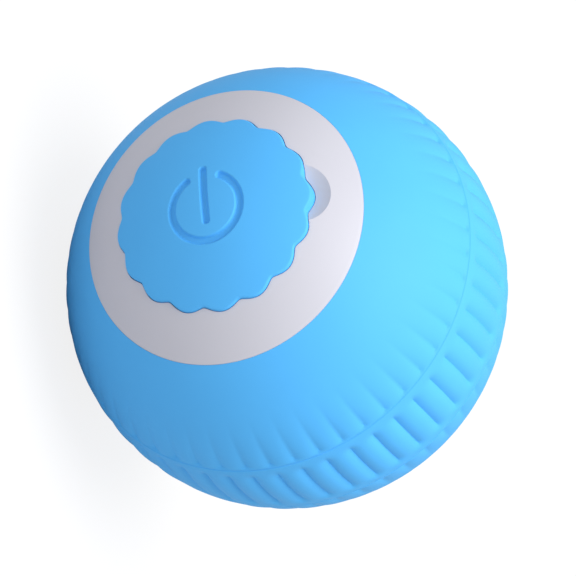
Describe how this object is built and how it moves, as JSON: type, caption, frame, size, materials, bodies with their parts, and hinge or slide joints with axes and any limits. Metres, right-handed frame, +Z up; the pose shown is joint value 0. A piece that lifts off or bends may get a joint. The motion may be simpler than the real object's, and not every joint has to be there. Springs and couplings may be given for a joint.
{
  "type": "self rolling cat ball",
  "caption": "Rolling cat toy: ribbed soft skin over a two-part shell, with a swinging counterweight, geared motor, battery and a press cap over the charging port.",
  "frame": {"origin": "centre of the ball, on the roll axis", "axes": "Y along the roll axis with the button and charging port facing -Y, +Z up, the counterweight hanging toward -Z"},
  "size_m": [0.043, 0.0433, 0.043],
  "materials": {
    "skin": "matte light blue silicone",
    "shell": "pale lilac grey moulded plastic",
    "chassis": "white moulded plastic",
    "gear_plastic": "natural acetal",
    "black_plastic": "black moulded plastic",
    "board": "green solder mask on glass laminate",
    "steel": "bright steel",
    "cast_weight": "plain cast metal",
    "brass": "turned brass",
    "battery_pouch": "silver laminate pouch",
    "foam_tape": "white foam tape",
    "lamp": "clear yellow lens",
    "red_lead": "red insulation",
    "black_lead": "black insulation"
  },
  "bodies": {
    "ball": {"tread_skin": "skin", "port_half_shell": "shell", "far_half_shell": "shell", "drive_chassis": "chassis", "gear_cover": "chassis", "first_gear_pin": "steel", "second_gear_pin": "steel", "control_board": "board", "board_screw_1": "steel", "board_screw_2": "steel", "board_screw_3": "steel", "chassis_screw_1": "steel", "chassis_screw_2": "steel", "chassis_screw_3": "steel", "port_sleeve": "steel", "port_tongue": "black_plastic", "switch_case": "black_plastic", "status_lamp": "lamp", "controller_chip": "black_plastic", "battery_cell": "battery_pouch", "battery_tape": "foam_tape", "motor_can": "steel", "motor_end_cap": "black_plastic", "motor_lead_red": "red_lead", "motor_lead_black": "black_lead", "battery_lead_red": "red_lead", "battery_lead_black": "black_lead"},
    "swing_weight": {"output_gear": "gear_plastic", "output_shaft": "steel", "counterweight": "cast_weight"},
    "first_gear_set": {"first_gear": "gear_plastic"},
    "second_gear_set": {"second_gear": "gear_plastic"},
    "motor_rotor": {"motor_pinion": "brass", "motor_shaft": "steel"},
    "switch_key": {"switch_stem": "chassis"},
    "cap": {"port_cap": "skin"}
  },
  "joints": [
    {"name": "weight_spin", "type": "hinge", "parent": "ball", "child": "swing_weight", "pos_m": [0, 0, 0], "axis": [0, 1, 0], "continuous": true},
    {"name": "second_gear_spin", "type": "hinge", "parent": "ball", "child": "second_gear_set", "pos_m": [0.00611, 0, 0.0046], "axis": [0, 1, 0], "continuous": true},
    {"name": "first_gear_spin", "type": "hinge", "parent": "ball", "child": "first_gear_set", "pos_m": [0.00128, 0, 0.00734], "axis": [0, 1, 0], "continuous": true},
    {"name": "rotor_spin", "type": "hinge", "parent": "ball", "child": "motor_rotor", "pos_m": [-0.00414, 0, 0.00614], "axis": [0, 1, 0], "continuous": true},
    {"name": "switch_press", "type": "slide", "parent": "ball", "child": "switch_key", "axis": [0, 1, 0], "range_m": [0, 0.00035], "stiffness_N_per_m": 4500},
    {"name": "cap_pull", "type": "slide", "parent": "switch_key", "child": "cap", "axis": [0, -1, 0], "range_m": [0, 0.007]}
  ],
  "couplings": [
    {"joint": "second_gear_spin", "follows": "weight_spin", "ratio": -4.6667},
    {"joint": "first_gear_spin", "follows": "weight_spin", "ratio": 14.519},
    {"joint": "rotor_spin", "follows": "weight_spin", "ratio": -45.169}
  ]
}
